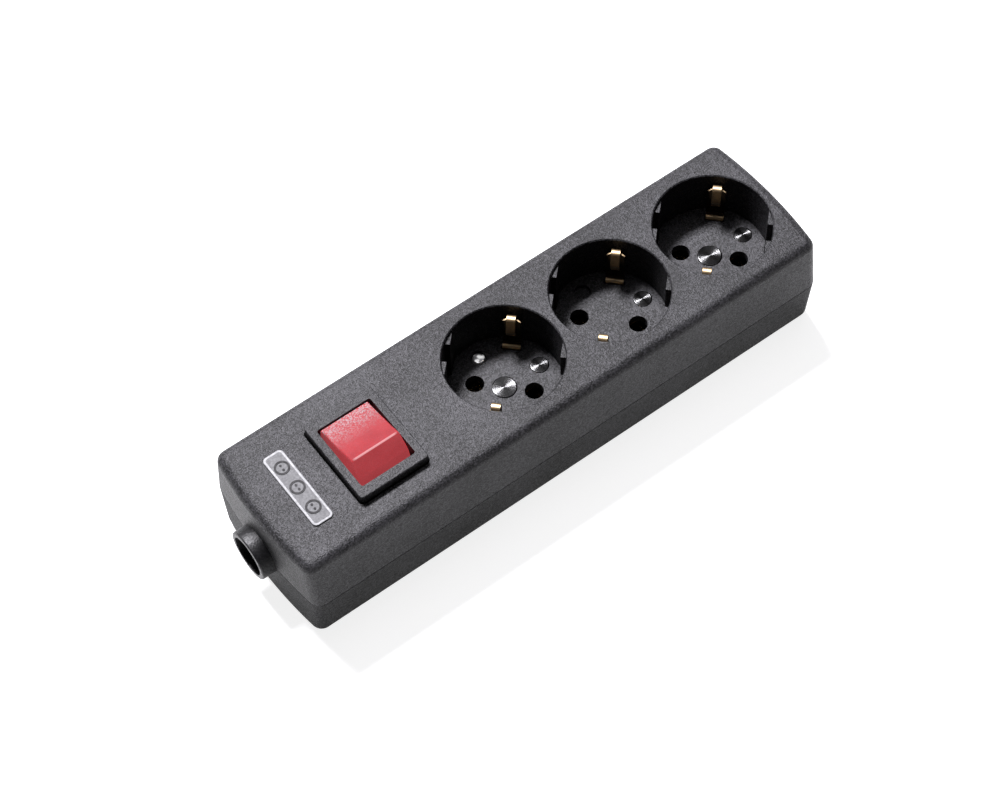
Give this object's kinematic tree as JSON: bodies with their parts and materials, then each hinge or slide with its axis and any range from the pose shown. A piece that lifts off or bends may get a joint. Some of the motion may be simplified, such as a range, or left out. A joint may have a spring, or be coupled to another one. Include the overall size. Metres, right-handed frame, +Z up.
{
  "type": "desk power strip",
  "caption": "Black desk power strip: round recessed earthed sockets in a row, lit red rocker switch in a raised bezel and an open cord inlet stub at one end.",
  "frame": {"origin": "centre of the flat rest face under the housing", "axes": "+X along the strip away from the cord inlet, +Y to the back, +Z up through the sockets"},
  "size_m": [0.2055, 0.056, 0.0476],
  "materials": {
    "housing_black": "fine spark-eroded grain",
    "well_black": "fine grain",
    "bezel_black": "fine grain",
    "rocker_red": "translucent, satin",
    "brass": "stamped",
    "turned_steel": "turned",
    "zinc_screw": "plated",
    "spring_steel": "drawn",
    "lamp_glass": "clear",
    "resistor_tan": "lacquered",
    "terminal_white": "plain",
    "wire_brown": "PVC",
    "wire_blue": "PVC",
    "wire_green": "PVC",
    "badge_silver": "satin",
    "badge_grey": "printed"
  },
  "bodies": {
    "housing": {"badge_marks": "badge_grey", "badge_plate": "badge_silver", "base_cover": "housing_black", "case_screws": "zinc_screw", "centre_rivets": "turned_steel", "cord_inlet_bush": "housing_black", "earth_bar": "brass", "earth_clip_1": "brass", "earth_clip_2": "brass", "earth_clip_3": "brass", "earth_wire": "wire_green", "floor_screw": "zinc_screw", "indicator_lamp": "lamp_glass", "lamp_resistor": "resistor_tan", "line_bar": "brass", "line_contact_1": "brass", "line_contact_2": "brass", "line_contact_3": "brass", "line_feed_tab": "brass", "line_feed_wire": "wire_brown", "line_load_tab": "brass", "line_load_wire": "wire_brown", "neutral_bar": "brass", "neutral_contact_1": "brass", "neutral_contact_2": "brass", "neutral_contact_3": "brass", "neutral_feed_tab": "brass", "neutral_feed_wire": "wire_blue", "neutral_load_tab": "brass", "neutral_load_wire": "wire_blue", "side_rivets": "turned_steel", "socket_floor_1": "well_black", "socket_floor_2": "well_black", "socket_floor_3": "well_black", "switch_frame": "bezel_black", "terminal_block": "terminal_white", "terminal_screws": "zinc_screw", "upper_housing": "housing_black"},
    "rocker": {"switch_rocker": "rocker_red", "line_plunger": "brass", "neutral_plunger": "brass", "line_plunger_spring": "spring_steel", "neutral_plunger_spring": "spring_steel"},
    "line_seesaw": {"line_seesaw": "brass"},
    "neutral_seesaw": {"neutral_seesaw": "brass"}
  },
  "joints": [
    {"name": "rocker_hinge", "type": "hinge", "parent": "housing", "child": "rocker", "pos_m": [-0.05965, -0.0008, 0.0337], "axis": [1, 0, 0], "range_deg": [0, 29]},
    {"name": "line_seesaw_hinge", "type": "hinge", "parent": "housing", "child": "line_seesaw", "pos_m": [-0.06485, -0.0008, 0.0243], "axis": [1, 0, 0], "range_deg": [-10.1, 0]},
    {"name": "neutral_seesaw_hinge", "type": "hinge", "parent": "housing", "child": "neutral_seesaw", "pos_m": [-0.05445, -0.0008, 0.0243], "axis": [1, 0, 0], "range_deg": [-10.1, 0]}
  ],
  "couplings": [
    {"joint": "line_seesaw_hinge", "follows": "rocker_hinge", "ratio": -0.3448},
    {"joint": "neutral_seesaw_hinge", "follows": "rocker_hinge", "ratio": -0.3448}
  ]
}
